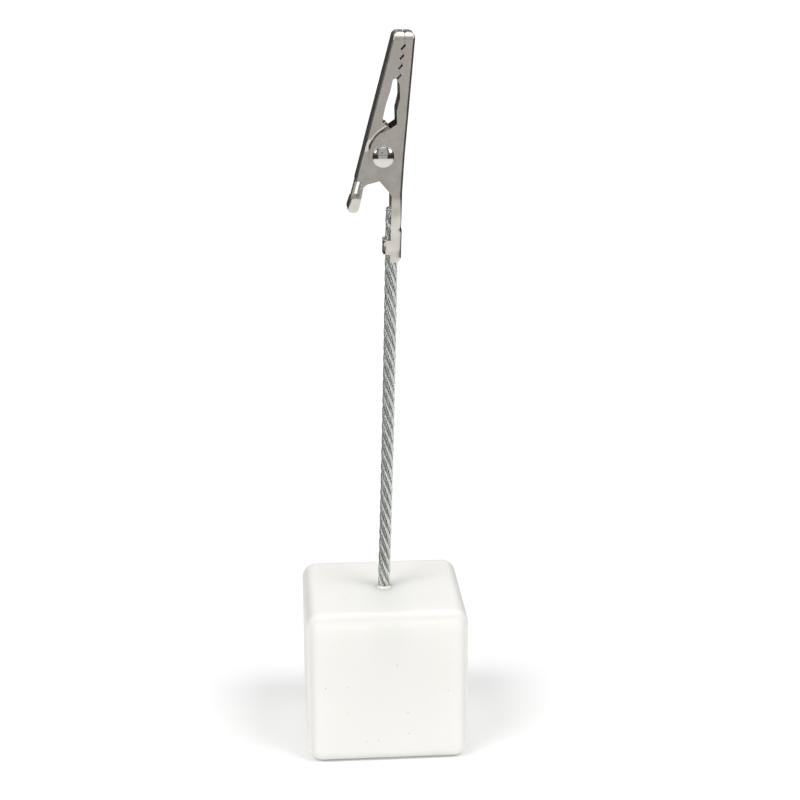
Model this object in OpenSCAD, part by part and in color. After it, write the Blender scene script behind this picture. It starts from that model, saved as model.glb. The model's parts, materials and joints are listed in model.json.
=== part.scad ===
// Table number holder: a cast block that carries a wire rope stem with a
// spring-loaded alligator clip crimped to its top.
// Origin at the centre of the block's underside, +Z up. The clip's hinge axis
// runs along Y and its lever points towards -X.

/* [Base block] */
// Width and depth of the cast block
block_w = 32; // [26:0.5:50]
// Height of the cast block
block_h = 31.4; // [26:0.1:50]
// Rounding radius of the block's edges
edge_r = 2.8; // [0.5:0.1:4]
// Diameter of the blind bore that takes the stem
bore_d = 3.2; // [2.9:0.1:4]
// Depth of the blind bore
bore_depth = 16; // [10:0.5:20]

/* [Stem] */
// Outer diameter of the wire rope
rope_d = 2.5; // [2:0.1:2.5]
// Free length of the rope between the block and the clip
stem_len = 67.5; // [40:0.5:120]
// Lean of the rope where it leaves the block, in degrees from vertical
lean_low = 2; // [0:0.1:4]
// Lean of the rope where it enters the clip, in degrees from vertical
lean_high = 1.2; // [0:0.1:4]
// Length of the rope in which a strand makes one full turn
lay_len = 16.6; // [12:0.1:30]

/* [Clip] */
// Width across the side plates of the fixed jaw
clip_w = 7; // [6.6:0.1:8]
// Thickness of the jaws' sheet steel
sheet = 0.45; // [0.35:0.05:0.5]
// Height of the noses above the hinge axis
nose_v = 23.25; // [23:0.05:24]
// Spacing of the teeth along the jaws
tooth_pitch = 1.85; // [1.8:0.01:1.9]
// Gap between the open flanks of meeting teeth
tooth_gap = 0.39; // [0.3:0.01:0.45]

/* [Rivet] */
// Diameter of the rivet's shank
shank_d = 2.2; // [1.8:0.1:2.4]
// Diameter of the rivet's domed heads
head_d = 4.2; // [3.2:0.1:4.4]
// Height of a domed head
head_h = 0.68; // [0.4:0.02:0.9]

/* [Spring] */
// Wire diameter of the torsion spring
spring_wire = 0.7; // [0.5:0.05:0.7]
// Mean radius of the spring's coil
coil_r = 1.75; // [1.6:0.05:1.9]
// Full turns of the spring before its closing part turn
coil_turns = 4; // [2:1:4]

/* [Hidden] */
$fn = 64;

resin = [0.95, 0.95, 0.93];
glue = [0.85, 0.83, 0.72];
galvanised = [0.62, 0.64, 0.62];
nickel = [0.76, 0.74, 0.70];
spring_steel = [0.5, 0.5, 0.5];

clearance = 0.01;      // between pieces that only lie against each other
running_gap = 0.05;    // radial, between the moving jaw and the rivet
half_w = clip_w / 2;   // outer faces of the fixed jaw's plates
inner_half = half_w - sheet - 0.1;    // outer faces of the moving jaw's hinge plates

// --- rope centreline -------------------------------------------------------
// s is the length along the rope from the block's top face: straight in the
// bore (s < 0), one gentle arc, and straight again inside the clip's tail.
bore_x = 0.2;
tail_end_v = -20.9;                   // lower end of the crimped tail
below_v = tail_end_v - 1;             // a height below the whole clip
rope_top_v = -10.4;                   // upper end of the rope in the tail
rope_u = 2.05;                        // rope axis in the clip's own frame
rope_top_s = stem_len + rope_top_v - tail_end_v;
rope_end_s = -(bore_depth - 0.8);

function unit_dir(a) = [sin(a), 0, cos(a)];
function lean_at(s) = lean_low + (lean_high - lean_low) * min(max(s, 0), stem_len) / stem_len;
function chord_dir(s) = unit_dir((lean_low + lean_at(s)) / 2);
function rope_point(s) =
    [bore_x, 0, block_h]
    + min(s, 0) * unit_dir(lean_low)
    + min(max(s, 0), stem_len) * chord_dir(s)
    + max(s - stem_len, 0) * unit_dir(lean_high);

// --- strands ----------------------------------------------------------------
core_d = 0.352 * rope_d;
strand_d = 0.316 * rope_d;
strand_r = (rope_d - strand_d) / 2;   // radius of a strand's helix
lay_angle = atan(2 * PI * strand_r / lay_len);
ring_step = 1.2;
rings = ceil((rope_top_s - rope_end_s) / ring_step);
sides = 8;

// One ring of points round a strand that lies at distance r from the rope axis.
function strand_ring(r, d, phase, s) =
    let (lean = lean_at(s),
         axis = unit_dir(lean),
         e_x = [cos(lean), 0, -sin(lean)],
         e_y = [0, 1, 0],
         turn = phase - 360 * s / lay_len,
         out = cos(turn) * e_x + sin(turn) * e_y,
         side = -sin(turn) * e_x + cos(turn) * e_y,
         tilt = r > 0 ? lay_angle : 0,
         across = cos(tilt) * side + sin(tilt) * axis,
         centre = rope_point(s) + r * out)
    [for (j = [0:sides - 1])
        centre + d / 2 * (cos(360 * j / sides) * out + sin(360 * j / sides) * across)];

// Triangles of a tube with n + 1 rings of k points, closed at both ends.
function tube_faces(n, k) = concat(
    [for (i = [0:n - 1], j = [0:k - 1])
        [i * k + j, (i + 1) * k + j, i * k + (j + 1) % k]],
    [for (i = [0:n - 1], j = [0:k - 1])
        [(i + 1) * k + j, (i + 1) * k + (j + 1) % k, i * k + (j + 1) % k]],
    [[for (j = [0:k - 1]) j]],
    [[for (j = [0:k - 1]) n * k + k - 1 - j]]);

module strand(r, d, phase) {
    step = (rope_top_s - rope_end_s) / rings;
    polyhedron(
        points = [for (i = [0:rings]) each strand_ring(r, d, phase, rope_end_s + i * step)],
        faces = tube_faces(rings, sides));
}

module rope_core() color(galvanised) strand(0, core_d, 0);
module rope_strand(i) color(galvanised) strand(strand_r, strand_d, 60 * i + 15);

// --- base -------------------------------------------------------------------
module rounded_square(a, b, r) {
    square([a - 2 * r, b], center = true);
    square([a, b - 2 * r], center = true);
    for (x = [-1, 1], y = [-1, 1])
        translate([x * (a / 2 - r), y * (b / 2 - r)]) circle(r);
}

module rounded_block(w, h, r) {
    translate([0, 0, h / 2]) intersection() {
        linear_extrude(h, center = true) rounded_square(w, w, r);
        rotate([90, 0, 0]) linear_extrude(w, center = true) rounded_square(w, h, r);
        rotate([0, 90, 0]) linear_extrude(w, center = true) rounded_square(h, w, r);
    }
}

module along_bore() translate([bore_x, 0, block_h]) rotate([0, lean_low, 0]) children();

module base_block() color(resin) difference() {
    rounded_block(block_w, block_h, edge_r);
    along_bore() translate([0, 0, -bore_depth]) cylinder(h = 2 * bore_depth, d = bore_d);
}

module bond_adhesive() color(glue) {
    skin = 0.15;      // the glue stands this far below the block's top face
    along_bore() difference() {
        translate([0, 0, -bore_depth]) cylinder(h = bore_depth - skin, d = bore_d);
        translate([0, 0, rope_end_s - clearance]) cylinder(h = bore_depth, d = rope_d + 0.06);
    }
}

// --- clip frame ---------------------------------------------------------------
// u runs along X and v along Z of the clip's own frame; its origin is the hinge.
module clip_frame() {
    foot = rope_point(stem_len);
    translate(foot) rotate([0, lean_high, 0]) translate([-rope_u, 0, -tail_end_v]) children();
}

function unit(p) = p / norm(p);
// Rounds each corner [u, v, radius] of an outline with a short run of points.
function corner_points(a, b, c) =
    let (r = b[2], p = [b[0], b[1]])
    r == 0 ? [p] :
    let (to_a = unit([a[0], a[1]] - p),
         to_c = unit([c[0], c[1]] - p),
         half = acos(to_a * to_c) / 2,
         centre = p + unit(to_a + to_c) * r / sin(half),
         start = p + to_a * r / tan(half) - centre,
         finish = p + to_c * r / tan(half) - centre,
         a0 = atan2(start[1], start[0]),
         turn = (atan2(finish[1], finish[0]) - a0 + 540) % 360 - 180,
         n = max(2, ceil(abs(turn) / 15)))
    [for (i = [0:n]) centre + r * [cos(a0 + turn * i / n), sin(a0 + turn * i / n)]];
function rounded(path) =
    let (n = len(path))
    [for (i = [0:n - 1]) each corner_points(path[(i + n - 1) % n], path[i], path[(i + 1) % n])];

past = 30;             // a length that runs past the whole clip
// Extrudes an outline in u and v through the clip's whole width.
module side_view(points) rotate([90, 0, 0]) linear_extrude(past, center = true) polygon(points);
// Extrudes an outline in Y and v along u.
module end_view(points) rotate([90, 0, 90]) linear_extrude(past, center = true) polygon(points);

// An outline that is the same on both sides of the clip's middle plane.
function both_sides(path) = concat(path,
    [for (i = [len(path) - 1:-1:0]) [-path[i][0], path[i][1], path[i][2]]]);

// --- teeth -------------------------------------------------------------------
tooth_count = 4;
tooth_first = [2.72, 15];                 // middle of the lowest open flank
tooth_step = tooth_pitch * [sin(7.3), cos(7.3)];
flank_half = 0.6 * [0.68, 0.73];          // half of an open flank, rising to the right
flank_shift = tooth_gap * [0.61, -0.79];  // from the moving tooth's flank to the fixed one's
function flank_end(k, side) = tooth_first + k * tooth_step + side * flank_half;

moving_teeth = [for (k = [tooth_count - 1:-1:0], side = [1, -1])
    let (p = flank_end(k, side) - flank_shift / 2) [p[0], p[1], 0]];
fixed_teeth = [for (k = [0:tooth_count - 1], side = [-1, 1])
    let (p = flank_end(k, side) + flank_shift / 2) [p[0], p[1], 0]];

// --- fixed jaw ----------------------------------------------------------------
fixed_back_u = 4.09;                  // outside of the back wall at the hinge axis
fixed_slope = 0.0727;                 // how far it leans out per millimetre above
neck_slope = 0.0514;                  // and below, down to the neck
neck_v = -7;
barrel_v = [-14.6, -14];              // the crimped barrel steps out between these heights
barrel_back_u = 3.9;
tail_half = rope_d / 2 + 0.05 + sheet;
ear_centre = [3.4, -0.15];
ear_r = 6.1;
seam_u = 3.74;                        // the two noses meet here
seam_gap = 0.06;
tail_edge_u = 1.7;                    // open edges of the crimped tail
tail_chamfer = 0.7;

function fixed_back(v) =
    v < barrel_v[0] ? barrel_back_u
    : fixed_back_u + (v > 0 ? fixed_slope * v : neck_slope * max(v, neck_v));
function ear_point(a) = [ear_centre[0] + ear_r * cos(a), ear_centre[1] + ear_r * sin(a), 0];

fixed_outline = rounded(concat(
    [[barrel_back_u - tail_chamfer, tail_end_v, 0],
     [tail_edge_u, tail_end_v, 0],
     [tail_edge_u, -7.6, 0.6],
     [1.1, -6.7, 0.4]],
    [for (a = [-132:-12:-228]) ear_point(a)],
    [[1.35, 5.3, 0],
     [2.53, 6.1, 0.3],
     [2.42, 8.5, 0.8],
     [3, 11, 2],
     [2.92, 13.5, 1]],
    fixed_teeth,
    [[seam_u + seam_gap / 2, 21.3, 0],
     [seam_u + seam_gap / 2, nose_v, 0.4],
     [fixed_back(nose_v), nose_v, 1],
     [fixed_back_u, 0, 0],
     [fixed_back(neck_v), neck_v, 0],
     [fixed_back(barrel_v[1]), barrel_v[1], 0],
     [barrel_back_u, barrel_v[0], 0],
     [barrel_back_u, tail_end_v + tail_chamfer, 0]]));

// Where the noses start to narrow, and how far past their ends the taper runs on.
nose_taper_v = nose_v - 1.4;
nose_past = 0.7;
nose_narrow = 1.5;

// The side plates close in on the rope from the ears down to the tail's end.
function fixed_profile(grow) = both_sides([
    [tail_half + grow, below_v, 0],
    [tail_half + grow, tail_end_v, 1],
    [tail_half + 0.25 + grow, -18.5, 4],
    [half_w - 0.3 + grow, -12, 10],
    [half_w + grow, -8, 10],
    [half_w + grow, nose_taper_v, 0],
    [half_w + grow - nose_narrow, nose_v + nose_past, 0]]);

// Everything inside the sheet's back wall and nose.
open_u = 10;           // beyond the open side of either jaw
fixed_inside = rounded([
    [barrel_back_u - sheet, below_v, 0],
    [-open_u, below_v, 0],
    [-open_u, nose_v - sheet, 0],
    [fixed_back(nose_v) - sheet, nose_v - sheet, 0.7],
    [fixed_back_u - sheet, 0, 0],
    [fixed_back(neck_v) - sheet, neck_v, 0],
    [fixed_back(barrel_v[1]) - sheet, barrel_v[1], 0],
    [barrel_back_u - sheet, barrel_v[0], 0]]);

// Two tabs fold in front of the rope between these heights, and nearly meet.
tab_v = [-19.5, -16.3];
tab_u = rope_u - tail_half;
tab_slit = 0.2;

module tab_block(grow) intersection() {
    side_view([
        [tab_u - grow, tab_v[0]],
        [rope_u, tab_v[0]],
        [rope_u, tab_v[1]],
        [tab_u - grow, tab_v[1]]]);
    end_view(rounded(fixed_profile(grow)));
}

module tabs() difference() {
    tab_block(0);
    tab_block(-sheet);
    translate([tab_u - 1, -tab_slit / 2, tab_v[0] - 1])
        cube([2, tab_slit, tab_v[1] - tab_v[0] + 2]);
}

module fixed_jaw() color(nickel) clip_frame() difference() {
    union() {
        difference() {
            intersection() {
                side_view(fixed_outline);
                end_view(rounded(fixed_profile(0)));
            }
            intersection() {
                side_view(fixed_inside);
                end_view(rounded(fixed_profile(-sheet)));
            }
        }
        tabs();
    }
    rotate([90, 0, 0]) cylinder(h = past, d = shank_d + 2 * clearance, center = true);
}

// --- moving jaw ---------------------------------------------------------------
moving_back_u = -3.95;                // outside of the back wall at the hinge axis
moving_slope = 0.247;
lever_bend_v = -8.2;
lever_end = [-6.95, -11];
hub_r = 2.9;                          // hidden ear round the rivet
joggle_low_v = 4.9;
joggle_high_v = 5.6;

function moving_back(v) = moving_back_u + moving_slope * v;
lever_root = [moving_back(lever_bend_v), lever_bend_v];
lever_dir = unit(lever_end - lever_root);

moving_outline = rounded(concat(
    [[lever_end[0], lever_end[1], 0.7],
     [lever_root[0], lever_root[1], 3],
     [moving_back(nose_v), nose_v, 1.1],
     [seam_u - seam_gap / 2, nose_v, 0.35],
     [seam_u - seam_gap / 2, 21.35, 0]],
    moving_teeth,
    [[1.75, 14.85, 0.2],
     [1.2, 12.5, 1],
     [0.31, 9.6, 1],
     [-0.2, 7.1, 0.5],
     [-0.2, 6.45, 0.2],
     [1.25, 5.3, 0]],
    [for (a = [50:-20:-90]) [hub_r * cos(a), hub_r * sin(a), 0]],
    [[-0.3, -4.75, 0.5],
     [-2.9, -5.45, 0.6],
     [-3.62, -6, 0.3],
     [-4.05, -8.3, 1],
     [-4.6, lever_end[1], 1.2]]));

// Everything inside the sheet's back wall, lever and nose.
wall_u = sheet * 1.03;                // the sloping wall's thickness, measured along u
lever_past = lever_end + 2 * lever_dir + [wall_u, 0];
moving_inside = rounded([
    [lever_past[0], lever_past[1], 0],
    [lever_root[0] + wall_u, lever_root[1], 2.6],
    [moving_back(nose_v) + wall_u, nose_v - sheet, 0.9],
    [open_u, nose_v - sheet, 0],
    [open_u, lever_past[1], 0]]);

lever_taper = 0.176;                  // how far each flange closes in per millimetre below
flange_v = -8.3;                      // this height
function moving_profile(grow) = both_sides([
    [inner_half + grow - lever_taper * (flange_v - below_v), below_v, 0],
    [inner_half + grow, flange_v, 2],
    [inner_half + grow, joggle_low_v, 0],
    [half_w + grow, joggle_high_v, 0],
    [half_w + grow, nose_taper_v, 0],
    [half_w + grow - nose_narrow, nose_v + nose_past, 0]]);

// Notches in the bends, where the lever's flanges start.
notch_v = [-8.3, -4.9];
notch_u = 1.4;                        // how far they reach into the side plates
notch_y = 1.3;                        // the back wall keeps this half width between them
notch_outline = [
    [moving_back(notch_v[0]) - 1, notch_v[0]],
    [moving_back(notch_v[0]) + notch_u, notch_v[0]],
    [moving_back(notch_v[1]) + notch_u, notch_v[1]],
    [moving_back(notch_v[1]) - 1, notch_v[1]]];

module moving_jaw() color(nickel) clip_frame() difference() {
    intersection() {
        side_view(moving_outline);
        end_view(rounded(moving_profile(0)));
    }
    intersection() {
        side_view(moving_inside);
        end_view(rounded(moving_profile(-sheet)));
    }
    for (side = [-1, 1])
        translate([0, side * (notch_y + past / 2), 0]) side_view(notch_outline);
    rotate([90, 0, 0]) cylinder(h = past, d = shank_d + 2 * running_gap, center = true);
}

// --- rivet ----------------------------------------------------------------------
module rivet_head() {
    ball_r = (head_d * head_d / 4 + head_h * head_h) / (2 * head_h);
    intersection() {
        cylinder(h = head_h * 2, d = head_d);
        translate([0, 0, head_h - ball_r]) sphere(ball_r);
    }
}

module pivot_rivet() color(nickel) clip_frame() rotate([90, 0, 0]) {
    cylinder(h = clip_w, d = shank_d, center = true);
    for (side = [0, 1]) mirror([0, 0, side]) translate([0, 0, half_w]) rivet_head();
}

// --- torsion spring ---------------------------------------------------------------
leg_reach_v = -4.5;                   // both legs press on the back walls here
leg_gap = spring_wire / 2 + 0.06;     // from a leg's middle to the wall that it presses on
leg_moving = [moving_back(leg_reach_v) + wall_u + leg_gap, leg_reach_v];
leg_fixed = [fixed_back(leg_reach_v) - sheet - leg_gap, leg_reach_v];
coil_pitch = spring_wire + 0.04;      // the turns lie almost against each other

function leg_angle(tip, side) = atan2(tip[1], tip[0]) + side * acos(coil_r / norm(tip));
start_angle = leg_angle(leg_fixed, 1);
end_angle = leg_angle(leg_moving, -1) + 360 * (coil_turns + 1);
coil_steps = ceil((end_angle - start_angle) / 18);
half_rise = coil_pitch * (end_angle - start_angle) / 360 / 2;

// Centreline points [u, y, v]: up the fixed leg, round the coil, down the other leg.
function coil_point(i) =
    let (a = start_angle + (end_angle - start_angle) * i / coil_steps)
    [coil_r * cos(a), half_rise * (2 * i / coil_steps - 1), coil_r * sin(a)];
spring_path = concat(
    [[leg_fixed[0], -half_rise, leg_fixed[1]]],
    [for (i = [0:coil_steps]) coil_point(i)],
    [[leg_moving[0], half_rise, leg_moving[1]]]);

function path_dir(path, i) =
    unit(path[min(i + 1, len(path) - 1)] - path[max(i - 1, 0)]);
// The ring's first direction stays in the plane of the coil's turns.
function wire_ring(path, i) =
    let (t = path_dir(path, i),
         e1 = unit(cross([0, 1, 0], t)),
         e2 = cross(t, e1))
    [for (j = [0:sides - 1])
        path[i] + spring_wire / 2 * (cos(360 * j / sides) * e1 + sin(360 * j / sides) * e2)];

module torsion_spring() color(spring_steel) clip_frame()
    polyhedron(
        points = [for (i = [0:len(spring_path) - 1]) each wire_ring(spring_path, i)],
        faces = tube_faces(len(spring_path) - 1, sides));

base_block();
bond_adhesive();
rope_core();
rope_strand(1);  // rope_strand_1
rope_strand(2);  // rope_strand_2
rope_strand(3);  // rope_strand_3
rope_strand(4);  // rope_strand_4
rope_strand(5);  // rope_strand_5
rope_strand(6);  // rope_strand_6
fixed_jaw();
moving_jaw();
pivot_rivet();
torsion_spring();
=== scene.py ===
"""Looks for the table number holder: a frosted block, a wire rope stem and an alligator clip.

Lengths below are in millimetres and angles in degrees. `make_piece` turns them into metres.
"""
import json
import math

import bmesh
import bpy
from mathutils import Matrix, Vector, noise


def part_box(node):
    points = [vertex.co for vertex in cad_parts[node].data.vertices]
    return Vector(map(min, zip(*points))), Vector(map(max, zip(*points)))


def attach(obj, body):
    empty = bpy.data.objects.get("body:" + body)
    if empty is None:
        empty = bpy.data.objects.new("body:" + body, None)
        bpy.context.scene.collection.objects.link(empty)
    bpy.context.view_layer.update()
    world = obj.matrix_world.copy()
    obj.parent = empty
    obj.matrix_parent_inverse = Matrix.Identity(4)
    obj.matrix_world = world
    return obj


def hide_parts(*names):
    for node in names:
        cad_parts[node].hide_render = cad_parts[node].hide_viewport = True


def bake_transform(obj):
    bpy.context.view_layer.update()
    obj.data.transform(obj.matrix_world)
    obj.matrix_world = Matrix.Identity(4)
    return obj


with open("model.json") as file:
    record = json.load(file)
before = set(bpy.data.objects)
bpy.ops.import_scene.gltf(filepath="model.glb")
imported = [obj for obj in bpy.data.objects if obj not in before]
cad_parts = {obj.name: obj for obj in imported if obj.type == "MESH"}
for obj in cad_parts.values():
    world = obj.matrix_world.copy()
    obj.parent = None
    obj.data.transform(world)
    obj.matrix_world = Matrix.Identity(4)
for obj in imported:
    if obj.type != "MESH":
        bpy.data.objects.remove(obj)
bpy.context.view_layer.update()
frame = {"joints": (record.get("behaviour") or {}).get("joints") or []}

MM = 0.001


# --- sizes that come from the frame -------------------------------------------------
def box_mm(node):
    low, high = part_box(node)
    return low / MM, high / MM


block_low, block_high = box_mm("base_block")
BLOCK_W = block_high.x - block_low.x
BLOCK_H = block_high.z
HALF_W = box_mm("fixed_jaw")[1].y
HINGE = Vector(frame["joints"][0]["pos_m"]) / MM

# --- driving dimensions, which follow the CAD source --------------------------------
EDGE_R = 2.8
BORE_R = 1.6
BORE_DEPTH = 16.0
BORE_X = 0.2
ROPE_R = 1.25
STEM_LEN = 67.5
LEAN_LOW = 2.0
LEAN_HIGH = 1.2
LAY_LEN = 16.6
SHEET = 0.45
INNER_HALF = HALF_W - SHEET - 0.1
ROPE_U = 2.05
TAIL_END_V = -20.9
ROPE_TOP_V = -10.4
NOSE_V = 23.25
SEAM_U = 3.74
ROPE_TOP_S = STEM_LEN + ROPE_TOP_V - TAIL_END_V
ROPE_END_S = 0.8 - BORE_DEPTH
TAIL_HALF = ROPE_R + 0.05 + SHEET
EAR_CENTRE = (3.4, -0.15)
EAR_R = 6.1
SHANK_R = 1.1
HEAD_R = 2.1
HEAD_H = 0.68


# --- small helpers --------------------------------------------------------------------
def smoothstep(x, low, high):
    t = min(max((x - low) / (high - low), 0.0), 1.0)
    return t * t * (3 - 2 * t)


def lerp(a, b, t):
    return a + (b - a) * t


def interpolate(x, pairs):
    """The value at x of a polyline of (x, value) pairs in rising x."""
    for (x0, y0), (x1, y1) in zip(pairs, pairs[1:]):
        if x <= x1:
            return y0 if x <= x0 else lerp(y0, y1, (x - x0) / (x1 - x0))
    return pairs[-1][1]


def unit_dir(angle):
    return Vector((math.sin(math.radians(angle)), 0, math.cos(math.radians(angle))))


CLIP_U = Vector((math.cos(math.radians(LEAN_HIGH)), 0, -math.sin(math.radians(LEAN_HIGH))))
CLIP_V = unit_dir(LEAN_HIGH)
CLIP_Y = Vector((0, 1, 0))


def clip_point(u, y, v):
    """A point of the clip's own frame, whose origin is the hinge, in the row frame."""
    return HINGE + u * CLIP_U + y * CLIP_Y + v * CLIP_V


def make_piece(name, points, faces, material, body, node_names, smooth=True):
    """A mesh piece from points in millimetres, which stands for the named CAD nodes."""
    mesh = bpy.data.meshes.new(name)
    mesh.from_pydata([tuple(Vector(p) * MM) for p in points], [], faces)
    mesh.update()
    obj = bpy.data.objects.new(name, mesh)
    bpy.context.scene.collection.objects.link(obj)
    for polygon in mesh.polygons:
        polygon.use_smooth = smooth
    mesh.materials.append(material)
    if body:
        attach(obj, body)
    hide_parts(*node_names)
    return obj


def clean_up(obj, merge=0.002, closed=True):
    """Merges points that fall together. In a closed mesh it also turns every face outwards."""
    bm = bmesh.new()
    bm.from_mesh(obj.data)
    bmesh.ops.remove_doubles(bm, verts=bm.verts, dist=merge * MM)
    if closed:
        bmesh.ops.dissolve_degenerate(bm, edges=bm.edges, dist=merge * MM / 4)
        bmesh.ops.recalc_face_normals(bm, faces=bm.faces)
    bm.to_mesh(obj.data)
    bm.free()
    obj.data.update()


def tube(path, radius, sides, reference):
    """Points and faces of a closed round tube along a path. Its rings start square to reference."""
    points = []
    last = len(path) - 1
    for i, centre in enumerate(path):
        tangent = (path[min(i + 1, last)] - path[max(i - 1, 0)]).normalized()
        first = reference.cross(tangent).normalized()
        second = tangent.cross(first)
        for j in range(sides):
            a = 2 * math.pi * j / sides
            points.append(centre + radius * (math.cos(a) * first + math.sin(a) * second))
    faces = []
    for i in range(last):
        for j in range(sides):
            a, b = i * sides + j, i * sides + (j + 1) % sides
            faces.append((a, b, b + sides, a + sides))
    faces.append(tuple(reversed(range(sides))))
    faces.append(tuple(range(last * sides, (last + 1) * sides)))
    return points, faces


def revolve(profile, origin, axis, first, segments=96):
    """Points and faces of a solid turned round axis.

    The profile is (radius, height) pairs that start and end on the axis."""
    second = axis.cross(first)
    points = [origin + profile[0][1] * axis]
    rings = profile[1:-1]
    for radius, height in rings:
        for j in range(segments):
            a = 2 * math.pi * j / segments
            out = math.cos(a) * first + math.sin(a) * second
            points.append(origin + radius * out + height * axis)
    points.append(origin + profile[-1][1] * axis)
    end = len(points) - 1
    faces = []
    for j in range(segments):
        after = (j + 1) % segments
        faces.append((0, 1 + after, 1 + j))
        for i in range(len(rings) - 1):
            a, b = 1 + i * segments, 1 + (i + 1) * segments
            faces.append((a + j, a + after, b + after, b + j))
        low = 1 + (len(rings) - 1) * segments
        faces.append((end, low + j, low + after))
    return points, faces


# --- materials ------------------------------------------------------------------------
class Shader:
    """A material, or the world, with one call for each node."""

    def __init__(self, owner):
        owner.use_nodes = True
        self.owner = owner
        self.tree = owner.node_tree
        self.tree.nodes.clear()

    def add(self, kind, inputs=None, out=0, **settings):
        node = self.tree.nodes.new(kind)
        for key, value in settings.items():
            setattr(node, key, value)
        for key, value in (inputs or {}).items():
            self.put(node.inputs[key], value)
        return node.outputs[out]

    def put(self, socket, value):
        if isinstance(value, bpy.types.NodeSocket):
            self.tree.links.new(value, socket)
        else:
            socket.default_value = value

    def math(self, operation, *values, clamp=False):
        inputs = dict(enumerate(values))
        return self.add("ShaderNodeMath", inputs, operation=operation, use_clamp=clamp)

    def ramp(self, value, low, high, out_low=0.0, out_high=1.0):
        """A smooth step of value from low to high, between two results."""
        inputs = {"Value": value, "From Min": low, "From Max": high,
                  "To Min": out_low, "To Max": out_high}
        return self.add("ShaderNodeMapRange", inputs, interpolation_type="SMOOTHSTEP")

    def coordinates(self, scale=(1, 1, 1)):
        """Object coordinates in millimetres, stretched by scale."""
        place = self.add("ShaderNodeTexCoord", out=3)
        factor = [axis / MM for axis in scale]
        return self.add("ShaderNodeMapping", {"Vector": place, "Scale": factor})

    def noise(self, vector, scale, detail=3.0, roughness=0.55):
        inputs = {"Vector": vector, "Scale": scale, "Detail": detail, "Roughness": roughness}
        return self.add("ShaderNodeTexNoise", inputs)

    def mix(self, factor, a, b):
        node = self.tree.nodes.new("ShaderNodeMix")
        node.data_type = "RGBA"
        self.put(node.inputs[0], factor)
        self.put(node.inputs[6], a)
        self.put(node.inputs[7], b)
        return node.outputs[2]

    def bump(self, height, distance, strength=1.0, normal=None):
        inputs = {"Height": height, "Distance": distance * MM, "Strength": strength}
        if normal is not None:
            inputs["Normal"] = normal
        return self.add("ShaderNodeBump", inputs)

    def surface(self, **inputs):
        """The Principled shader. Underscores in the names stand for spaces."""
        named = {key.replace("_", " "): value for key, value in inputs.items()}
        shader = self.add("ShaderNodeBsdfPrincipled", named)
        self.add_output(shader)
        return self.owner

    def add_output(self, shader):
        for_world = isinstance(self.owner, bpy.types.World)
        kind = "ShaderNodeOutputWorld" if for_world else "ShaderNodeOutputMaterial"
        output = self.tree.nodes.new(kind)
        self.tree.links.new(shader, output.inputs["Surface"])


def metal(name, light, dark, roughness, wear, scratch_axis, bump_depth):
    """Plated or bare metal: rolling marks along one axis, fine scratches, dull patches."""
    s = Shader(bpy.data.materials.new(name))
    rolled = s.noise(s.coordinates(scratch_axis), 6.0, 4.0, 0.7)
    patches = s.noise(s.coordinates(), 0.45, 3.0)
    specks = s.noise(s.coordinates(), 7.0, 2.0)
    tone = s.math("ADD", s.math("MULTIPLY", rolled, 0.45), s.math("MULTIPLY", patches, 0.55))
    colour = s.mix(s.ramp(tone, 0.36, 0.66), (*dark, 1), (*light, 1))
    dull = s.math("ADD", s.math("MULTIPLY", patches, wear), s.math("MULTIPLY", rolled, wear * 0.6))
    rough = s.math("ADD", dull, roughness, clamp=True)
    height = s.math("ADD", rolled, s.math("MULTIPLY", specks, 0.5))
    return s.surface(Base_Color=colour, Metallic=1.0, Roughness=rough,
                     Normal=s.bump(height, bump_depth, 0.5))


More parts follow.
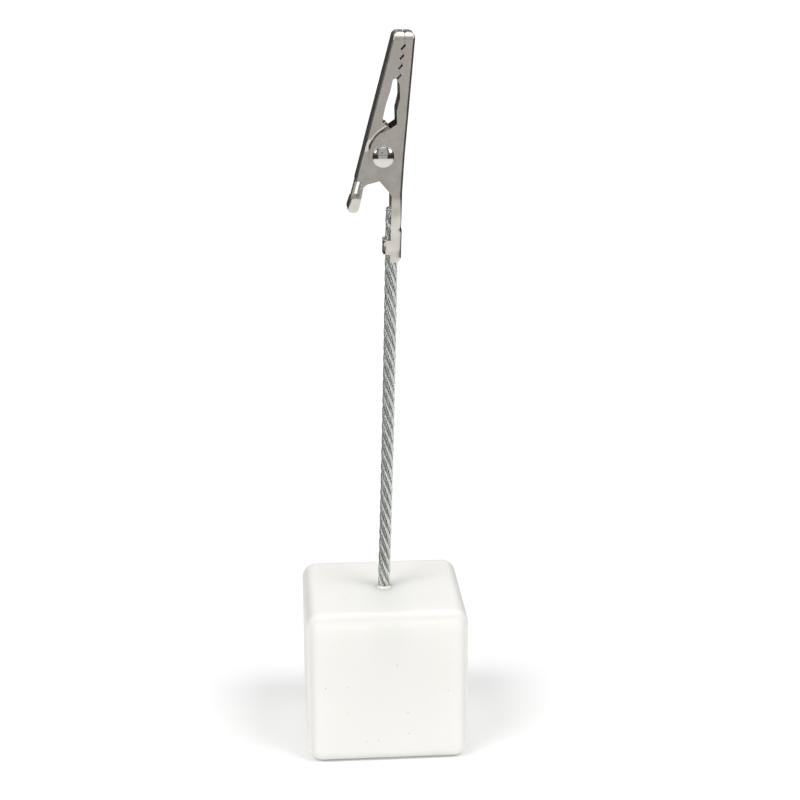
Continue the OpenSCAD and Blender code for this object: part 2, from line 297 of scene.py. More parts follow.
def frosted_resin():
    """Milky cast resin with a satin skin, tiny bubbles, painted shade where the rope lies inside it,
    and painted shade on its rounded edges.
    """
    s = Shader(bpy.data.materials.new("frosted_resin"))
    place = s.coordinates()
    cloud = s.noise(place, 0.09, 3.0)
    grain = s.noise(place, 5.0, 2.0)
    x, y, z = separate(s, place)
    # Painted shade of the rope inside the resin: a darker band along the bore's line, strongest near
    # the top and in front of the rope.
    beside = s.ramp(s.math("ABSOLUTE", s.math("SUBTRACT", x, BORE_X)), 1.0, 6.5, 1.0, 0.0)
    above = s.ramp(z, BLOCK_H - BORE_DEPTH - 3, BLOCK_H - 1)
    before = s.ramp(y, 0.0, 6.0, 1.0, 0.25)
    painted_rope_shade = s.math("MULTIPLY", s.math("MULTIPLY", beside, above), before)
    cells = s.add("ShaderNodeTexVoronoi", {"Vector": place, "Scale": 0.5})
    picked = s.add("ShaderNodeTexVoronoi", {"Vector": place, "Scale": 0.5}, out=1)
    seed = s.add("ShaderNodeSeparateColor", {"Color": picked})
    chosen = s.ramp(seed, 0.76, 0.77)
    pit = s.math("MULTIPLY", s.ramp(cells, 0.04, 0.09, 1.0, 0.0), chosen)
    milky = s.mix(cloud, (0.885, 0.875, 0.84, 1), (0.92, 0.91, 0.88, 1))
    shaded = s.mix(s.math("MULTIPLY", painted_rope_shade, 0.35), milky, (0.80, 0.81, 0.775, 1))
    # Painted shade: the rounded edges, which catch more light than the faces, are painted darker.
    normal_x, normal_y, normal_z = separate(s, s.add("ShaderNodeTexCoord", out=1))
    steepest = s.math("ABSOLUTE", normal_x)
    for part in (normal_y, normal_z):
        steepest = s.math("MAXIMUM", steepest, s.math("ABSOLUTE", part))
    painted_edge_shade = s.ramp(steepest, 0.72, 0.995, 1.0, 0.0)
    edged = s.mix(s.math("MULTIPLY", painted_edge_shade, 0.8), shaded, (0.78, 0.765, 0.73, 1))
    colour = s.mix(s.math("MULTIPLY", pit, 0.6), edged, (0.42, 0.41, 0.37, 1))
    rough = s.ramp(grain, 0.3, 0.7, 0.34, 0.46)
    skin = s.bump(grain, 0.012, 0.35)
    pitted = s.bump(s.math("SUBTRACT", 0.0, pit), 0.05, 0.6, skin)
    return s.surface(Base_Color=colour, Roughness=rough, Normal=pitted, IOR=1.5,
                     Subsurface_Weight=0.8, Subsurface_Radius=(1.0, 0.97, 0.88),
                     Subsurface_Scale=5.0 * MM)


def separate(s, vector):
    node = s.tree.nodes.new("ShaderNodeSeparateXYZ")
    s.put(node.inputs[0], vector)
    return node.outputs[0], node.outputs[1], node.outputs[2]


def clear_glue():
    s = Shader(bpy.data.materials.new("clear_glue"))
    cloud = s.noise(s.coordinates(), 0.8, 3.0)
    colour = s.mix(cloud, (0.80, 0.79, 0.70, 1), (0.90, 0.89, 0.82, 1))
    rough = s.ramp(cloud, 0.3, 0.7, 0.08, 0.2)
    return s.surface(Base_Color=colour, Roughness=rough, IOR=1.5, Coat_Weight=0.5,
                     Normal=s.bump(cloud, 0.03, 0.4))


NICKEL = metal("nickel_sheet", light=(0.76, 0.72, 0.655), dark=(0.66, 0.62, 0.56),
               roughness=0.10, wear=0.12, scratch_axis=(1, 1, 0.12), bump_depth=0.004)
RIVET_NICKEL = metal("rivet_nickel", light=(0.80, 0.78, 0.74), dark=(0.72, 0.70, 0.66),
                     roughness=0.02, wear=0.05, scratch_axis=(1, 1, 1), bump_depth=0.0015)
WIRE_ZINC = metal("wire_zinc", light=(0.95, 0.97, 0.94), dark=(0.78, 0.81, 0.78),
                  roughness=0.12, wear=0.16, scratch_axis=(1, 1, 0.2), bump_depth=0.005)
SPRING_STEEL = metal("spring_steel", light=(0.50, 0.50, 0.49), dark=(0.32, 0.32, 0.31),
                     roughness=0.16, wear=0.16, scratch_axis=(1, 0.2, 1), bump_depth=0.004)
RESIN = frosted_resin()
GLUE = clear_glue()


# --- base block -------------------------------------------------------------------------
def apply_boolean(obj, cutter):
    """Cuts cutter out of obj for good, and removes it."""
    cut = obj.modifiers.new("cut", "BOOLEAN")
    cut.operation = "DIFFERENCE"
    cut.solver = "EXACT"
    cut.object = cutter
    bake_modifiers(obj)
    bpy.data.objects.remove(cutter)


def bake_modifiers(obj):
    bpy.context.view_layer.update()
    graph = bpy.context.evaluated_depsgraph_get()
    done = bpy.data.meshes.new_from_object(obj.evaluated_get(graph))
    old = obj.data
    obj.modifiers.clear()
    obj.data = done
    bpy.data.meshes.remove(old)


def cutter_rod(centre, axis, first, radius, low, high):
    """A plain round rod, only ever used to cut a hole."""
    profile = [(0, low), (radius, low), (radius, high), (0, high)]
    points, faces = revolve(profile, centre, axis, first, 64)
    mesh = bpy.data.meshes.new("cutter")
    mesh.from_pydata([tuple(p * MM) for p in points], [], faces)
    obj = bpy.data.objects.new("cutter", mesh)
    bpy.context.scene.collection.objects.link(obj)
    clean_up(obj)
    return obj


def rounded_block():
    """The cast block: round edges, and the blind bore with its softened mouth."""
    bm = bmesh.new()
    bmesh.ops.create_cube(bm, size=1.0)
    for vert in bm.verts:
        vert.co.x *= BLOCK_W
        vert.co.y *= BLOCK_W
        vert.co.z = vert.co.z * BLOCK_H + BLOCK_H / 2
    bmesh.ops.bevel(bm, geom=bm.edges[:], offset=EDGE_R, segments=10, profile=0.5, affect="EDGES")
    points = [v.co.copy() for v in bm.verts]
    faces = [[v.index for v in f.verts] for f in bm.faces]
    bm.free()
    block = make_piece("frosted_block", points, faces, RESIN, None, ["base_block"])
    clean_up(block)
    axis = unit_dir(LEAN_LOW)
    mouth = Vector((BORE_X, 0, BLOCK_H))
    first = Vector((axis.z, 0, -axis.x))
    apply_boolean(block, cutter_rod(mouth, axis, first, BORE_R, -BORE_DEPTH, 3))
    for polygon in block.data.polygons:
        polygon.use_smooth = True
    edge = block.modifiers.new("mouth", "BEVEL")
    edge.width = 0.15 * MM
    edge.segments = 3
    edge.limit_method = "ANGLE"
    edge.angle_limit = math.radians(50)
    edge.harden_normals = True
    smooth = block.modifiers.new("normals", "WEIGHTED_NORMAL")
    smooth.keep_sharp = True
    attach(block, "stand")
    return block


def glue_plug():
    """Adhesive that fills the bore round the rope and creeps up it in a small fillet."""
    axis = unit_dir(LEAN_LOW)
    first = Vector((axis.z, 0, -axis.x))
    mouth = Vector((BORE_X, 0, BLOCK_H))
    outer = BORE_R - 0.01
    profile = [(0, -BORE_DEPTH + 0.02), (outer, -BORE_DEPTH + 0.02), (outer, -0.12)]
    creep = 0.5
    steps = 8
    for i in range(1, steps + 1):
        t = i / steps
        profile.append((lerp(outer, ROPE_R - 0.1, t), -0.12 + creep * t * t * t))
    profile += [(ROPE_R - 0.12, -1.0), (ROPE_R - 0.12, ROPE_END_S - 0.05), (0, ROPE_END_S - 0.05)]
    points, faces = revolve(profile, mouth, axis, first, 72)
    for i, p in enumerate(points):
        if p.z > BLOCK_H - 0.5:
            p.z += 0.05 * noise.noise(p * 1.7) * smoothstep(p.z, BLOCK_H - 0.2, BLOCK_H)
    plug = make_piece("glue_plug", points, faces, GLUE, None, ["bond_adhesive"])
    clean_up(plug)
    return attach(plug, "stand")


# --- wire rope --------------------------------------------------------------------------
WIRES_ROUND = 6
WIRE_LAY = 6.4
WIRE_SIDES = 6
WIRE_SHARE = 0.985
RING_STEP = 0.5
CORE_D = 0.352 * 2 * ROPE_R
STRAND_D = 0.316 * 2 * ROPE_R
STRAND_R = ROPE_R - STRAND_D / 2
LAY_ANGLE = math.atan(2 * math.pi * STRAND_R / LAY_LEN)


def lean_at(s):
    return lerp(LEAN_LOW, LEAN_HIGH, min(max(s, 0), STEM_LEN) / STEM_LEN)


def rope_point(s):
    """The rope's centreline, straight in the bore and the clip and one gentle arc between."""
    in_bore = min(s, 0) * unit_dir(LEAN_LOW)
    free = min(max(s, 0), STEM_LEN) * unit_dir((LEAN_LOW + lean_at(s)) / 2)
    in_clip = max(s - STEM_LEN, 0) * unit_dir(LEAN_HIGH)
    return Vector((BORE_X, 0, BLOCK_H)) + in_bore + free + in_clip


def strand_frame(s, strand_r, phase):
    """Centre of a strand at s, the way out from the rope's axis, and the way across the strand."""
    lean = math.radians(lean_at(s))
    axis = Vector((math.sin(lean), 0, math.cos(lean)))
    e_x = Vector((math.cos(lean), 0, -math.sin(lean)))
    turn = math.radians(phase - 360 * s / LAY_LEN)
    out = math.cos(turn) * e_x + math.sin(turn) * CLIP_Y
    side = -math.sin(turn) * e_x + math.cos(turn) * CLIP_Y
    tilt = LAY_ANGLE if strand_r else 0.0
    across = math.cos(tilt) * side + math.sin(tilt) * axis
    return rope_point(s) + strand_r * out, out, across


def laid_strand(name, node_name, strand_r, diameter, phase):
    """One strand: a straight wire with six more laid round it, against the rope's own lay."""
    wire_r = diameter / 6
    count = round((ROPE_TOP_S - ROPE_END_S) / RING_STEP)
    points, faces = [], []
    for wire in range(WIRES_ROUND + 1):
        ring_r = 0 if wire == 0 else 2 * wire_r
        path = []
        for i in range(count + 1):
            s = lerp(ROPE_END_S, ROPE_TOP_S, i / count)
            centre, out, across = strand_frame(s, strand_r, phase)
            turn = 2 * math.pi * (wire / WIRES_ROUND + s / WIRE_LAY)
            path.append(centre + ring_r * (math.cos(turn) * out + math.sin(turn) * across))
        wire_points, wire_faces = tube(path, wire_r * WIRE_SHARE, WIRE_SIDES, CLIP_Y)
        base = len(points)
        points += wire_points
        faces += [tuple(base + k for k in face) for face in wire_faces]
    return make_piece(name, points, faces, WIRE_ZINC, "stand", [node_name])


def wire_rope():
    laid_strand("core_wires", "rope_core", 0, CORE_D, 0)
    for i in range(1, 7):
        laid_strand(f"strand_{i}_wires", f"rope_strand_{i}", STRAND_R, STRAND_D, 60 * i + 15)


# --- pressed jaws -------------------------------------------------------------------------
def rounded_path(path):
    """An open outline of (u, v, radius) corners as (v, u) pairs, with each corner rounded.

    The last corner only shows which way the outline turns at the one before it."""
    done = [(path[0][1], path[0][0])]
    for before, here, after in zip(path, path[1:], path[2:]):
        p, radius = Vector(here[:2]), here[2]
        if not radius:
            done.append((p.y, p.x))
            continue
        to_before = (Vector(before[:2]) - p).normalized()
        to_after = (Vector(after[:2]) - p).normalized()
        half = math.acos(max(-1, min(1, to_before.dot(to_after)))) / 2
        centre = p + (to_before + to_after).normalized() * radius / math.sin(half)
        start = p + to_before * radius / math.tan(half) - centre
        finish = p + to_after * radius / math.tan(half) - centre
        first = math.atan2(start.y, start.x)
        turn = (math.atan2(finish.y, finish.x) - first + 3 * math.pi) % (2 * math.pi) - math.pi
        steps = max(2, math.ceil(abs(turn) / math.radians(15)))
        for i in range(steps + 1):
            a = first + turn * i / steps
            done.append((centre.y + radius * math.sin(a), centre.x + radius * math.cos(a)))
    return done


# The two edges have the same slanted flanks, TOOTH_GAP apart, so that the teeth mesh.
TEETH = 4
TOOTH_PITCH = 1.85
TOOTH_GAP = 0.39
SEAM_LEAN = math.radians(7.3)
TOOTH_FIRST = Vector((2.72, 15.0))
TOOTH_STEP = TOOTH_PITCH * Vector((math.sin(SEAM_LEAN), math.cos(SEAM_LEAN)))
FLANK_HALF = 0.6 * Vector((0.68, 0.73))
FLANK_SHIFT = TOOTH_GAP * Vector((0.61, -0.79))


def teeth(side):
    """Tooth corners from the lowest up: side is 1 for the fixed jaw and -1 for the moving one."""
    corners = []
    for k in range(TEETH):
        for end in (-1, 1):
            p = TOOTH_FIRST + k * TOOTH_STEP + end * FLANK_HALF + side * FLANK_SHIFT / 2
            corners.append((p.x, p.y, 0.06))
    return corners


NECK_V = -7.0
BARREL_V = (-14.6, -14.0)
BARREL_BACK = 3.9
LEVER_ROOT_V = -8.2
LEVER_END = (-6.95, -11.0)
TAIL_EDGE_U = 1.7
HUB_R = 2.9


def fixed_back(v):
    if v < BARREL_V[0]:
        return BARREL_BACK
    return 4.09 + (0.0727 * v if v > 0 else 0.0514 * max(v, NECK_V))


def moving_back(v):
    return -3.95 + 0.247 * v


def arc_corners(centre, radius, degrees):
    """Unrounded corners on a circle in the clip's side view, one for each angle."""
    return [(centre[0] + radius * math.cos(math.radians(a)),
             centre[1] + radius * math.sin(math.radians(a)), 0) for a in degrees]


FIXED_BACK = rounded_path([
    (BARREL_BACK - 0.5, TAIL_END_V, 0),
    (BARREL_BACK, TAIL_END_V + 0.6, 0.4),
    (BARREL_BACK, BARREL_V[0], 0.8),
    (fixed_back(BARREL_V[1]), BARREL_V[1], 0.8),
    (fixed_back(NECK_V), NECK_V, 10),
    (fixed_back(0), 0, 20),
    (fixed_back(NOSE_V), NOSE_V, 1.0),
    (SEAM_U + 0.4, NOSE_V, 0)])
FIXED_EDGE = rounded_path([
    (TAIL_EDGE_U, TAIL_END_V, 0),
    (TAIL_EDGE_U, -7.6, 0.6),
    (1.1, -6.7, 0.4),
    *arc_corners(EAR_CENTRE, EAR_R, range(-132, -229, -6)),
    (1.35, 5.3, 0),
    (2.53, 6.1, 0.3),
    (2.42, 8.5, 0.8),
    (3.0, 11.0, 2),
    (2.92, 13.5, 1),
    *teeth(1),
    (SEAM_U + 0.03, 21.3, 0),
    (SEAM_U + 0.03, NOSE_V, 0.4),
    (SEAM_U + 0.5, NOSE_V, 0)])
MOVING_BACK = rounded_path([
    (LEVER_END[0] + 0.8, LEVER_END[1], 0),
    (LEVER_END[0], LEVER_END[1], 0.78),
    (moving_back(LEVER_ROOT_V), LEVER_ROOT_V, 3),
    (moving_back(NOSE_V), NOSE_V, 1.1),
    (SEAM_U - 0.2, NOSE_V, 0)])
MOVING_EDGE = rounded_path([
    (-5.4, LEVER_END[1], 0),
    (-4.6, LEVER_END[1], 1.0),
    (-4.05, -8.3, 1),
    (-3.62, -6.0, 0.3),
    (-2.9, -5.45, 0.6),
    (-0.3, -4.75, 0.5),
    *arc_corners((0, 0), HUB_R, range(-90, 51, 10)),
    (1.25, 5.3, 0),
    (-0.2, 6.45, 0.2),
    (-0.2, 7.1, 0.5),
    (0.31, 9.6, 1),
    (1.2, 12.5, 1),
    (1.62, 14.5, 0.2),
    *teeth(-1),
    (SEAM_U - 0.03, 21.35, 0),
    (SEAM_U - 0.03, NOSE_V, 0.35),
    (SEAM_U - 0.3, NOSE_V, 0)])

NOSE_R = 1.4
NOSE_STEPS = 8
CAP_STEPS = 4
BACK_COLUMNS = 4
BEND_COLUMNS = 6
FIXED_COLUMNS = 22
MOVING_COLUMNS = 26
TAIL_BEND_R = 1.3
FIXED_BEND_R = 0.5
MOVING_BEND_R = 0.3
EDGE_BEVEL = 0.11
RIVET_HOLE_R = SHANK_R + 0.05
CUT_REACH = 8
SKIN_MERGE = 0.003
SHEET_MERGE = 0.01


def row_heights(edge, low, top, step, extra):
    """Heights of the grid's rows: every corner of the edge, with the gaps filled in."""
    wanted = sorted({round(v, 4) for v, _ in edge if low <= v <= top} | set(extra) | {low, top})
    rows = [wanted[0]]
    for v in wanted[1:]:
        gap = v - rows[-1]
        if gap < 0.01:
            continue
        parts = max(1, math.ceil(gap / step(v)))
        start = rows[-1]
        rows += [lerp(start, v, k / parts) for k in range(1, parts + 1)]
    return rows


def jaw_sections(rows, back, edge, half_at, bend_r, plate_columns, lay_point):
    """One row of points for each height, from one plate's open edge over the back to the other's."""
    sections = []
    for v, width_share in rows:
        u_back = interpolate(v, back)
        u_edge = interpolate(v, edge)
        toward = 1 if u_edge > u_back else -1
        half = half_at(v)
        radius = min(bend_r(v), half * 0.95, abs(u_edge - u_back) * 0.8)
        flat = half - radius
        side = []
        for i in range(BACK_COLUMNS):
            side.append((u_back, flat * i / BACK_COLUMNS))
        for i in range(BEND_COLUMNS + 1):
            a = math.pi / 2 * i / BEND_COLUMNS
            side.append((u_back + toward * radius * (1 - math.cos(a)), flat + radius * math.sin(a)))
        u_bend = u_back + toward * radius
        for i in range(1, plate_columns + 1):
            side.append((lerp(u_bend, u_edge, i / plate_columns), half))
        row = [lay_point(u, -y * width_share, v) for u, y in reversed(side[1:])]
        row += [lay_point(u, y * width_share, v) for u, y in side]
        sections.append(row)
    return sections


def nose_rows(heights):
    """Rows as (height, share of the width), with those that round the nose and close its top."""
    start = NOSE_V - NOSE_R
    rows = [(v, 1.0) for v in heights if v < start - 0.01]
    for i in range(NOSE_STEPS + 1):
        a = math.pi / 2 * i / NOSE_STEPS
        half = HALF_W - NOSE_R * (1 - math.cos(a))
        rows.append((start + NOSE_R * math.sin(a), half / HALF_W))
    last = (HALF_W - NOSE_R) / HALF_W
    for i in range(1, CAP_STEPS + 1):
        rows.append((NOSE_V, last * (1 - i / CAP_STEPS)))
    return rows


def grid_faces(rows, columns):
    faces = []
    for i in range(rows - 1):
        for j in range(columns - 1):
            a = i * columns + j
            faces.append((a, a + 1, a + columns + 1, a + columns))
    return faces


def pressed_sheet(name, sections, body, node_name, flip, is_cut=lambda middle: False):
    """Sheet steel of real thickness, with softened edges, grown inwards from its outer skin.

    Skin faces whose middle is_cut picks out are left open."""
    points = [p for row in sections for p in row]
    faces = grid_faces(len(sections), len(sections[0]))
    middles = [sum((points[k] for k in face), Vector()) / len(face) for face in faces]
    faces = [face for face, middle in zip(faces, middles) if not is_cut(middle)]
    if flip:
        faces = [tuple(reversed(face)) for face in faces]
    jaw = make_piece(name, points, faces, NICKEL, None, [node_name])
    clean_up(jaw, SKIN_MERGE, closed=False)
    thick = jaw.modifiers.new("sheet", "SOLIDIFY")
    thick.thickness = SHEET * MM
    thick.offset = -1
    bake_modifiers(jaw)
    apply_boolean(jaw, cutter_rod(HINGE, CLIP_Y, CLIP_U, RIVET_HOLE_R, -CUT_REACH, CUT_REACH))
    clean_up(jaw, SHEET_MERGE)
    edge = jaw.modifiers.new("edges", "BEVEL")
    edge.width = EDGE_BEVEL * MM
    edge.segments = 3
    edge.limit_method = "ANGLE"
    edge.angle_limit = math.radians(45)
    edge.harden_normals = False
    smooth_by_angle(jaw)
    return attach(jaw, body)


def smooth_by_angle(obj, angle=35):
    for polygon in obj.data.polygons:
        polygon.use_smooth = True
    obj.data.set_sharp_from_angle(angle=math.radians(angle))


TAB_LOW = -19.5
TAB_HIGH = -16.3
TAB_SLIT = 0.2
TAB_BEND = 0.9
TAPER = rounded_path([
    (TAIL_HALF, TAIL_END_V - 1, 0),
    (TAIL_HALF, TAIL_END_V, 1),
    (TAIL_HALF + 0.25, -18.5, 4),
    (HALF_W - 0.3, -12, 10),
    (HALF_W, -8, 10),
    (HALF_W, NOSE_V, 0),
    (HALF_W, NOSE_V + 1, 0)])


def fixed_half(v):
    """The side plates close in on the rope from the ears down to the tail's end."""
    return interpolate(v, TAPER)


def fixed_jaw():
    tab_u = ROPE_U - TAIL_HALF
    ramp_up = 0.25

    def fold_length(v):
        """How far the edge runs round the front of the rope, measured along the sheet."""
        to_bend = TAIL_EDGE_U - tab_u - TAB_BEND
        return to_bend + TAB_BEND * math.pi / 2 + fixed_half(v) - TAB_BEND - TAB_SLIT / 2

    tabs = [(TAIL_END_V, TAIL_EDGE_U), (TAB_LOW, TAIL_EDGE_U)]
    for v in (TAB_LOW + ramp_up, TAB_HIGH - ramp_up):
        tabs.append((v, TAIL_EDGE_U - fold_length(v)))
    tabs.append((TAB_HIGH, TAIL_EDGE_U))
    edge = tabs + [pair for pair in FIXED_EDGE if pair[0] > TAB_HIGH + 0.1]

    def lay_point(u, y, v):
        """The tabs bend round in front of the rope, and the crimping tool leaves shallow dents."""
        if v > TAB_HIGH or u > tab_u + TAB_BEND:
            return clip_point(u, y, v)
        side = 1 if y > 0 else -1
        half = abs(y)
        beyond = tab_u + TAB_BEND - u
        bend = min(beyond / TAB_BEND, math.pi / 2)
        along = max(0.0, beyond - TAB_BEND * math.pi / 2)
        dent = 0.4 * noise.noise(Vector((beyond * 1.1, side * 3.0, v * 1.6)))
        front = tab_u + TAB_BEND * (1 - math.sin(bend)) + abs(dent) * smoothstep(beyond, 0.2, 0.9)
        inward = TAB_BEND * (1 - math.cos(bend)) + along
        return clip_point(front, side * (half - inward), v)

    def bend_r(v):
        return lerp(TAIL_BEND_R, FIXED_BEND_R, smoothstep(v, -16, -9))

    heights = row_heights(edge, TAIL_END_V, NOSE_V, lambda v: 0.35 if v < -4 else 0.6, [])
    rows = nose_rows(heights)
    sections = jaw_sections(rows, FIXED_BACK, edge, fixed_half, bend_r, FIXED_COLUMNS, lay_point)
    return pressed_sheet("fixed_jaw_sheet", sections, "stand", "fixed_jaw", False)


NOTCH_V = (-8.3, -4.9)
NOTCH_U = 1.4
NOTCH_Y = 1.3
LEVER_TAPER = 0.176
FLANGE_V = -8.3
JOGGLE_LAP = 0.1
JOGGLE_RUN = 0.62


def in_notch(point):
    """Whether a point of the skin lies in a notch. There is one where each lever flange starts."""
    out = point - HINGE
    v = out.dot(CLIP_V)
    past_back = out.dot(CLIP_U) - moving_back(v)
    return NOTCH_V[0] < v < NOTCH_V[1] and abs(out.y) > NOTCH_Y and past_back < NOTCH_U


def moving_jaw():
    def lay_point(u, y, v):
        """Round the fixed jaw's ear the plate steps inwards, so that the hub runs inside it."""
        from_ear = math.hypot(u - EAR_CENTRE[0], v - EAR_CENTRE[1])
        start = EAR_R - JOGGLE_LAP
        ramp = min(max((from_ear - start) / JOGGLE_RUN, 0.0), 1.0)
        step = ramp * smoothstep(v, 0.5, 3.5)
        width = lerp(INNER_HALF, HALF_W, step) - LEVER_TAPER * max(0.0, FLANGE_V - v)
        return clip_point(u, y * width / HALF_W, v)

    def row_step(v):
        return 0.16 if -1 < v < 7 else 0.5

    heights = row_heights(MOVING_EDGE, LEVER_END[1], NOSE_V, row_step, NOTCH_V)
    rows = nose_rows(heights)
    sections = jaw_sections(rows, MOVING_BACK, MOVING_EDGE, lambda v: HALF_W,
                            lambda v: MOVING_BEND_R, MOVING_COLUMNS, lay_point)
    return pressed_sheet("moving_jaw_sheet", sections, "moving_jaw", "moving_jaw", True, in_notch)


# --- rivet and spring -------------------------------------------------------------------------
def domed_head(half, head_h, steps=14):
    """Profile of a domed head from its tip down to the shank."""
    ball_r = (HEAD_R ** 2 + head_h ** 2) / (2 * head_h)
    tip = half + head_h
    widest = math.asin(HEAD_R / ball_r)
    profile = []
    for i in range(steps + 1):
        a = widest * i / steps
        profile.append((ball_r * math.sin(a), tip - ball_r * (1 - math.cos(a))))
    profile[-1] = (HEAD_R - 0.02, half + 0.07)
    return profile + [(HEAD_R, half + 0.03), (HEAD_R - 0.02, half), (SHANK_R, half)]


REAR_HEAD_SHARE = 0.85


def rivet():
    """A rivet with a round formed head in front and a slightly flatter peened one behind."""
    front = domed_head(HALF_W, HEAD_H)
    back = domed_head(HALF_W, HEAD_H * REAR_HEAD_SHARE)
    profile = front + [(radius, -height) for radius, height in reversed(back)]
    points, faces = revolve(profile, HINGE, -CLIP_Y, CLIP_U)
    piece = make_piece("domed_rivet", points, faces, RIVET_NICKEL, None, ["pivot_rivet"])
    clean_up(piece)
    smooth_by_angle(piece, 40)
    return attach(piece, "stand")


SPRING_WIRE = 0.7
COIL_R = 1.75
COIL_TURNS = 4
COIL_PITCH = SPRING_WIRE + 0.04


def spring():
    """The torsion spring: a coil round the hinge, with one leg against each jaw's back."""
    leg_v = -4.5
    leg_gap = SPRING_WIRE / 2 + 0.06
    leg_moving = (moving_back(leg_v) + SHEET * 1.03 + leg_gap, leg_v)
    leg_fixed = (fixed_back(leg_v) - SHEET - leg_gap, leg_v)

    def leg_angle(tip, side):
        return math.atan2(tip[1], tip[0]) + side * math.acos(COIL_R / math.hypot(*tip))

    start = leg_angle(leg_fixed, 1)
    end = leg_angle(leg_moving, -1) + 2 * math.pi * (COIL_TURNS + 1)
    half_rise = COIL_PITCH * (end - start) / (4 * math.pi)
    steps = math.ceil((end - start) / math.radians(10))
    path = [clip_point(leg_fixed[0], -half_rise, leg_fixed[1])]
    for i in range(steps + 1):
        a = lerp(start, end, i / steps)
        y = half_rise * (2 * i / steps - 1)
        path.append(clip_point(COIL_R * math.cos(a), y, COIL_R * math.sin(a)))
    path.append(clip_point(leg_moving[0], half_rise, leg_moving[1]))
    points, faces = tube(path, SPRING_WIRE / 2, 12, CLIP_Y)
    piece = make_piece("coiled_spring", points, faces, SPRING_STEEL, None, ["torsion_spring"])
    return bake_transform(piece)


# --- camera, floor and light -----------------------------------------------------------------
CAMERA_AZIMUTH = -4.11
CAMERA_PITCH = 16.57
CAMERA_ROLL = -0.287
CAMERA_DISTANCE = 395.2
CAMERA_ASIDE = 3.654
CAMERA_TARGET_Z = 70.796
LENS = 90.0


def add_camera():
    a, e = math.radians(CAMERA_AZIMUTH), math.radians(CAMERA_PITCH)
    back = Vector((math.sin(a) * math.cos(e), -math.cos(a) * math.cos(e), math.sin(e)))
    target = Vector((CAMERA_ASIDE * math.cos(a), CAMERA_ASIDE * math.sin(a), CAMERA_TARGET_Z))
    data = bpy.data.cameras.new("camera")
    data.lens = LENS
    data.sensor_width = 36.0
    data.clip_start = 0.01
    data.clip_end = 50
    camera = bpy.data.objects.new("camera", data)
    bpy.context.scene.collection.objects.link(camera)
    roll = Matrix.Rotation(math.radians(CAMERA_ROLL), 3, "Z")
    turn = (-back).to_track_quat("-Z", "Y").to_matrix() @ roll
    camera.matrix_world = Matrix.Translation((target + CAMERA_DISTANCE * back) * MM) @ turn.to_4x4()
    bpy.context.scene.camera = camera


def add_softbox(name, azimuth, elevation, angle, strength):
    """A far soft light that is angle degrees across. Azimuth 0 is in front, 90 at +X."""
    a, e = math.radians(azimuth), math.radians(elevation)
    out = Vector((math.sin(a) * math.cos(e), -math.cos(a) * math.cos(e), math.sin(e)))
    data = bpy.data.lights.new(name, "SUN")
    data.angle = math.radians(angle)
    data.energy = strength
    light = bpy.data.objects.new(name, data)
    bpy.context.scene.collection.objects.link(light)
    light.rotation_mode = "QUATERNION"
    light.rotation_quaternion = out.to_track_quat("Z", "Y")
    light.visible_glossy = False


def add_floor():
    """A large pale sweep under the block."""
    half = 6.0  # metres
    corners = [(-half, -half, 0), (half, -half, 0), (half, half, 0), (-half, half, 0)]
    mesh = bpy.data.meshes.new("floor")
    mesh.from_pydata(corners, [], [(0, 1, 2, 3)])
    s = Shader(bpy.data.materials.new("pale_floor"))
    tone = s.noise(s.coordinates(), 0.02, 2.0)
    s.surface(Base_Color=s.mix(tone, (0.96, 0.96, 0.96, 1), (0.97, 0.97, 0.97, 1)), Roughness=0.8,
              Specular_IOR_Level=0.0, Emission_Color=(1, 1, 1, 1), Emission_Strength=0.06)
    mesh.materials.append(s.owner)
    floor = bpy.data.objects.new("floor", mesh)
    bpy.context.scene.collection.objects.link(floor)
    floor.visible_glossy = False


AMBIENT = 0.44


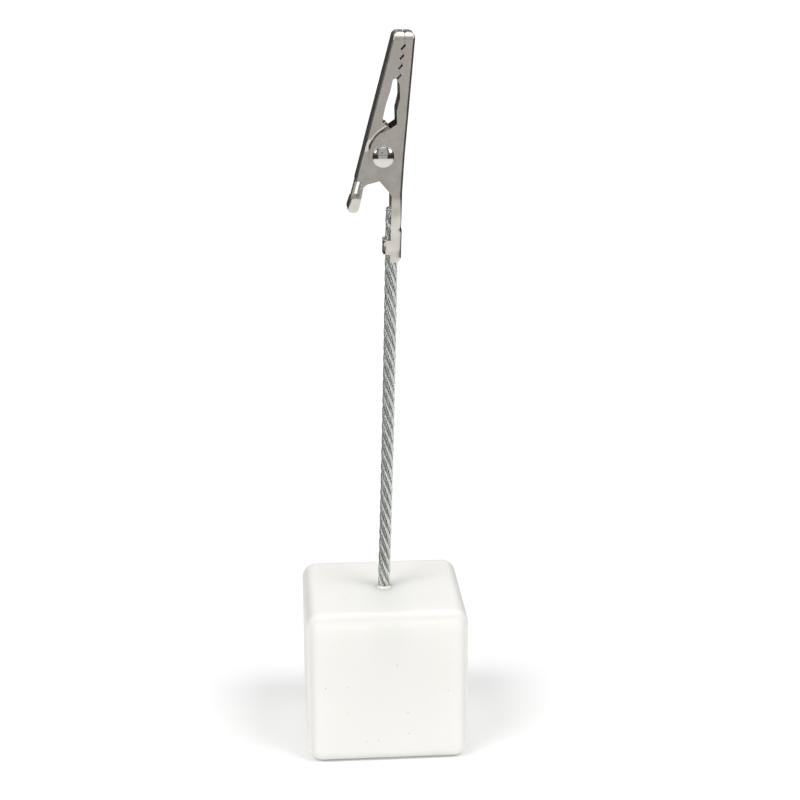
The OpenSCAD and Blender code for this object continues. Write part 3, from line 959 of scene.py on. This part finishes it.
def studio_world():
    """White to the camera, even light on matt surfaces, and a studio with two softboxes in shine.

    Azimuth 0 is in front of the block and elevation 0 is the horizon, both in degrees."""
    world = bpy.data.worlds.new("studio")
    s = Shader(world)
    direction = s.add("ShaderNodeTexCoord", out=0)
    x, y, z = separate(s, direction)
    azimuth = s.math("DEGREES", s.math("ARCTAN2", x, s.math("MULTIPLY", y, -1.0)))
    elevation = s.math("DEGREES", s.math("ARCSINE", z))
    aside = s.math("ABSOLUTE", azimuth)

    def within(value, low, high, blur):
        rise = s.ramp(value, low - blur, low + blur)
        fall = s.ramp(value, high - blur, high + blur, 1.0, 0.0)
        return s.math("MULTIPLY", rise, fall)

    def add(*values):
        total = values[0]
        for value in values[1:]:
            total = s.math("ADD", total, value)
        return total

    def times(*values):
        product = values[0]
        for value in values[1:]:
            product = s.math("MULTIPLY", product, value)
        return product

    def inverse(value):
        return s.math("SUBTRACT", 1.0, value)

    softboxes = times(within(aside, 44, 62, 1.5), within(elevation, 14, 44, 1.5))
    behind = s.ramp(aside, 85, 125)
    front_side = s.ramp(aside, 24, 36, 1.0, 0.0)
    room = s.ramp(elevation, 38, 66, 0.16, 1.3)
    backdrop = add(room, times(front_side, 0.3), times(behind, 0.75))
    near_floor = s.ramp(elevation, -26, -12, 0.93, 0.38)
    table_edge = s.ramp(elevation, -11, -7.5, 0.0, 0.22)
    steep_floor = s.ramp(elevation, -58, -28, 0.06, 0.0)
    floor = add(near_floor, table_edge, steep_floor)
    sky = s.ramp(elevation, -4, 2)
    scene_light = add(times(sky, backdrop), times(inverse(sky), floor))
    side_shade = times(within(elevation, -20, 3, 3.0), s.ramp(aside, 24, 32))
    rear_shade = times(within(elevation, 0, 16, 3.0), behind)
    horizon = times(within(elevation, -3, 1, 1.0), s.ramp(aside, 24, 32, 1.0, 0.0))
    beside_camera = s.math("SUBTRACT", azimuth, CAMERA_AZIMUTH)
    above_camera = s.math("SUBTRACT", elevation, CAMERA_PITCH)
    squares = add(times(beside_camera, beside_camera), times(above_camera, above_camera))
    from_camera = s.math("SQRT", squares)
    camera_dark = s.ramp(from_camera, 3.5, 6.0, 1.0, 0.0)
    shaded = times(scene_light, inverse(times(side_shade, 0.92)), inverse(times(rear_shade, 0.8)),
                   inverse(times(horizon, 0.6)), inverse(times(camera_dark, 0.8)))
    reflected = add(shaded, times(softboxes, 3.0))
    path = s.tree.nodes.new("ShaderNodeLightPath")
    tint = s.add("ShaderNodeCombineColor", dict.fromkeys(("Red", "Green", "Blue"), reflected))
    seen = s.mix(path.outputs["Is Glossy Ray"], (AMBIENT, AMBIENT, AMBIENT, 1), tint)
    seen = s.mix(path.outputs["Is Camera Ray"], seen, (1.0, 1.0, 1.0, 1))
    s.add_output(s.add("ShaderNodeBackground", {"Color": seen, "Strength": 1.0}))
    world.cycles.sampling_method = "NONE"
    bpy.context.scene.world = world


rounded_block()
glue_plug()
wire_rope()
fixed_jaw()
moving_jaw()
rivet()
spring()
add_camera()
add_floor()
studio_world()
add_softbox("softbox_left", -52, 54, 28, 1.17)
add_softbox("softbox_right", 52, 54, 28, 1.12)
bpy.context.scene.view_settings.view_transform = "Standard"
